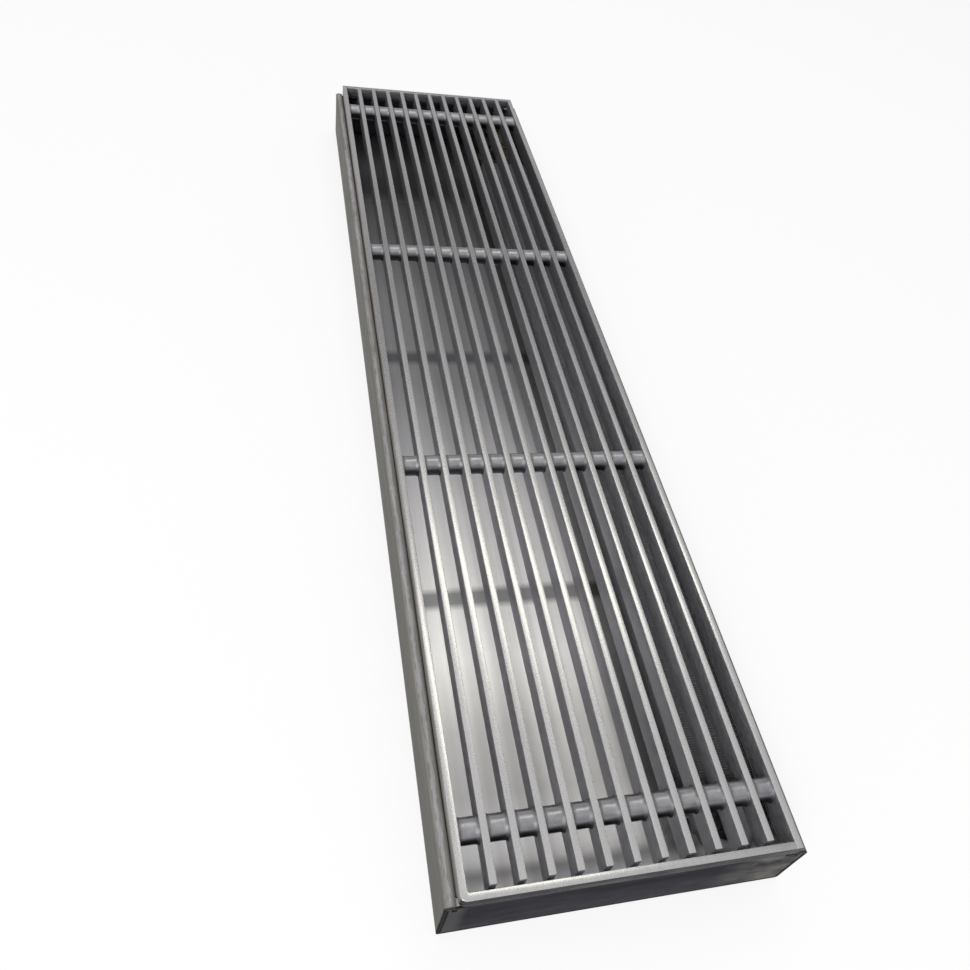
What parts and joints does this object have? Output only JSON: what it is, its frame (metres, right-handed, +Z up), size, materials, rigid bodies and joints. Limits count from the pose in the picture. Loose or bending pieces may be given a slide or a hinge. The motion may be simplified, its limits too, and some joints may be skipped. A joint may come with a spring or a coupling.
{
  "type": "trench convector heater",
  "caption": "Shallow steel floor tray with a lift-off grate of flat bars tied by round bars, and a finned tube coil with two valves along one side.",
  "frame": {"origin": "centre of the underside", "axes": "+X across the tray towards the coil side, +Y along the tray towards the pipe ports, +Z up"},
  "size_m": [0.247, 1.03, 0.065],
  "materials": {
    "tray_steel": "brushed lengthwise, satin",
    "plate_steel": "brushed, dark in the reflections",
    "grate_steel": "fine brushed, slightly worn edges",
    "rod_steel": "drawn round bar, satin, weld fillets",
    "zinc_steel": "zinc plated",
    "coil_coating": "matt grey coating on copper and aluminium",
    "brass": "turned brass, tarnished",
    "rubber": "matt rubber",
    "knob_plastic": "matt moulded plastic"
  },
  "bodies": {
    "tray": {"tray_pan": "tray_steel", "end_plate_near": "plate_steel", "end_plate_far": "plate_steel", "grate_ledge_left": "zinc_steel", "grate_ledge_right": "zinc_steel", "rest_strip_left": "rubber", "rest_strip_right": "rubber", "flow_tube": "coil_coating", "return_tube": "coil_coating", "return_bend": "coil_coating", "coil_fins": "coil_coating", "coil_bracket_near": "zinc_steel", "coil_bracket_far": "zinc_steel", "bracket_studs": "zinc_steel", "bracket_nuts": "zinc_steel", "flow_union_nut": "brass", "return_union_nut": "brass", "flow_valve_body": "brass", "return_valve_body": "brass", "flow_valve_bonnet": "brass", "return_valve_bonnet": "brass", "vent_plug": "brass", "pipe_bushes": "rubber"},
    "grate": {"frame_bar_bent": "grate_steel", "frame_bar_right": "grate_steel", "frame_bar_far": "grate_steel", "grate_bar_1": "grate_steel", "grate_bar_2": "grate_steel", "grate_bar_3": "grate_steel", "grate_bar_4": "grate_steel", "grate_bar_5": "grate_steel", "grate_bar_6": "grate_steel", "grate_bar_7": "grate_steel", "grate_bar_8": "grate_steel", "grate_bar_9": "grate_steel", "grate_bar_10": "grate_steel", "grate_bar_11": "grate_steel", "tie_rod_1": "rod_steel", "tie_rod_2": "rod_steel", "tie_rod_3": "rod_steel", "tie_rod_4": "rod_steel", "spacer_row_1": "rod_steel", "spacer_row_2": "rod_steel", "spacer_row_3": "rod_steel", "spacer_row_4": "rod_steel"},
    "flow_knob": {"flow_valve_knob": "knob_plastic", "flow_valve_stem": "zinc_steel"},
    "return_spindle": {"return_valve_spindle": "zinc_steel"},
    "vent": {"vent_screw": "zinc_steel"}
  },
  "joints": [
    {"name": "grate_lift", "type": "slide", "parent": "tray", "child": "grate", "axis": [0, 0, 1], "range_m": [0, 0.08]},
    {"name": "flow_knob_turn", "type": "hinge", "parent": "tray", "child": "flow_knob", "pos_m": [0.068, 0.4393, 0.0245], "axis": [0, 0, 1], "range_deg": [-540, 0]},
    {"name": "return_spindle_turn", "type": "hinge", "parent": "tray", "child": "return_spindle", "pos_m": [0.1, 0.4393, 0.0245], "axis": [0, 0, 1], "range_deg": [-720, 0]},
    {"name": "vent_screw_turn", "type": "hinge", "parent": "tray", "child": "vent", "pos_m": [0.068, 0.4699, 0.0245], "axis": [0, 0, 1], "range_deg": [0, 360]}
  ]
}
